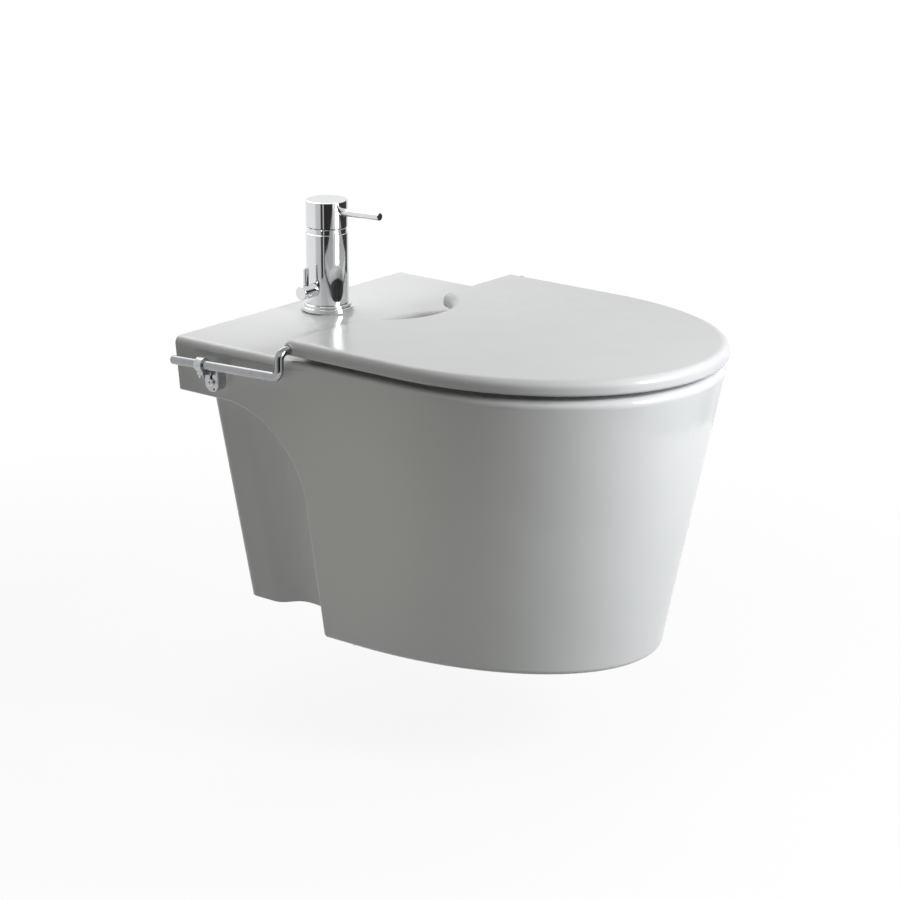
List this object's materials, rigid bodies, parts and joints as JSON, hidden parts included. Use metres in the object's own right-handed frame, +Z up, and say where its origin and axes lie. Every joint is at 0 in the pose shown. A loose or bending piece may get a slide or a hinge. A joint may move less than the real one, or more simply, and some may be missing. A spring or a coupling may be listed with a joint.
{
  "type": "wall-hung bidet",
  "caption": "Wall-hung ceramic bidet with a hinged cover on chrome side rods, a single-lever deck tap and a side lever that works a pop-up waste.",
  "frame": {"origin": "on the wall plane, midway between the two wall-bolt holes", "axes": "+Z up, +Y into the wall, +X across the width; the front faces -Y"},
  "size_m": [0.404, 0.516, 0.4195],
  "materials": {
    "glaze": "gloss",
    "cover": "gloss",
    "rubber": "matte",
    "plastic": "matte",
    "brass": "satin",
    "copper": "satin",
    "steel": "satin",
    "zinc": "satin",
    "chrome": "polished"
  },
  "bodies": {
    "fixed_body": {"ball_nut": "plastic", "bracket_anchor_left": "plastic", "bracket_anchor_right": "plastic", "bracket_screw_left": "steel", "bracket_screw_right": "steel", "ceramic_body": "glaze", "clamp_screw_left": "steel", "clamp_screw_right": "steel", "clamp_washer": "steel", "fixing_nut": "brass", "hinge_bracket_left": "zinc", "hinge_bracket_right": "zinc", "hinge_collar_left": "zinc", "hinge_collar_right": "zinc", "hinge_rod_left": "chrome", "hinge_rod_right": "chrome", "inlet_manifold": "brass", "inlet_tube_left": "copper", "inlet_tube_right": "copper", "tap_base_ring": "chrome", "tap_bezel_ring": "chrome", "tap_body": "chrome", "tap_cartridge": "plastic", "tap_gasket": "rubber", "tap_shank": "brass", "wall_sleeve_left": "plastic", "wall_sleeve_right": "plastic", "waste_back_nut": "plastic", "waste_body": "brass", "waste_flange": "chrome", "waste_gland": "chrome", "waste_seal": "rubber", "waste_washer": "rubber"},
    "cover": {"lid": "cover", "lid_bush_left": "plastic", "lid_bush_right": "plastic", "lid_buffer_rear_left": "rubber", "lid_buffer_rear_right": "rubber", "lid_buffer_front_left": "rubber", "lid_buffer_front_right": "rubber"},
    "swivel": {"cartridge_carrier": "plastic", "tilt_pin": "steel"},
    "handle": {"lever_stem": "steel", "tap_cap": "chrome", "tap_lever": "chrome", "cap_screw": "steel"},
    "waste_control": {"waste_lever": "chrome", "waste_spindle": "steel"},
    "lift": {"lift_rod": "steel"},
    "rocker": {"pivot_rod": "steel"},
    "plug": {"waste_plug": "chrome"}
  },
  "joints": [
    {"name": "cover_hinge", "type": "hinge", "parent": "fixed_body", "child": "cover", "pos_m": [0, -0.155, 0.1073], "axis": [-1, 0, 0], "range_deg": [0, 97]},
    {"name": "handle_swivel", "type": "hinge", "parent": "fixed_body", "child": "swivel", "pos_m": [0, -0.047, 0.175], "axis": [0, 0, 1], "range_deg": [-50, 50]},
    {"name": "handle_tilt", "type": "hinge", "parent": "swivel", "child": "handle", "pos_m": [0, -0.047, 0.1605], "axis": [-1, 0, 0], "range_deg": [0, 18]},
    {"name": "waste_turn", "type": "hinge", "parent": "fixed_body", "child": "waste_control", "pos_m": [0, -0.047, 0.12], "axis": [1, 0, 0], "range_deg": [0, 60.3]},
    {"name": "lift_slide", "type": "slide", "parent": "fixed_body", "child": "lift", "axis": [0, 0, -1], "range_m": [0, 0.012]},
    {"name": "rocker_turn", "type": "hinge", "parent": "fixed_body", "child": "rocker", "pos_m": [0, -0.2, -0.13], "axis": [-1, 0, 0], "range_deg": [0, 4.87]},
    {"name": "plug_slide", "type": "slide", "parent": "fixed_body", "child": "plug", "axis": [0, 0, 1], "range_m": [0, 0.00389]}
  ],
  "couplings": [
    {"joint": "waste_turn", "follows": "lift_slide", "rad_per_m": 87.266},
    {"joint": "rocker_turn", "follows": "lift_slide", "rad_per_m": 7.0081},
    {"joint": "plug_slide", "follows": "lift_slide", "ratio": 0.31555}
  ]
}
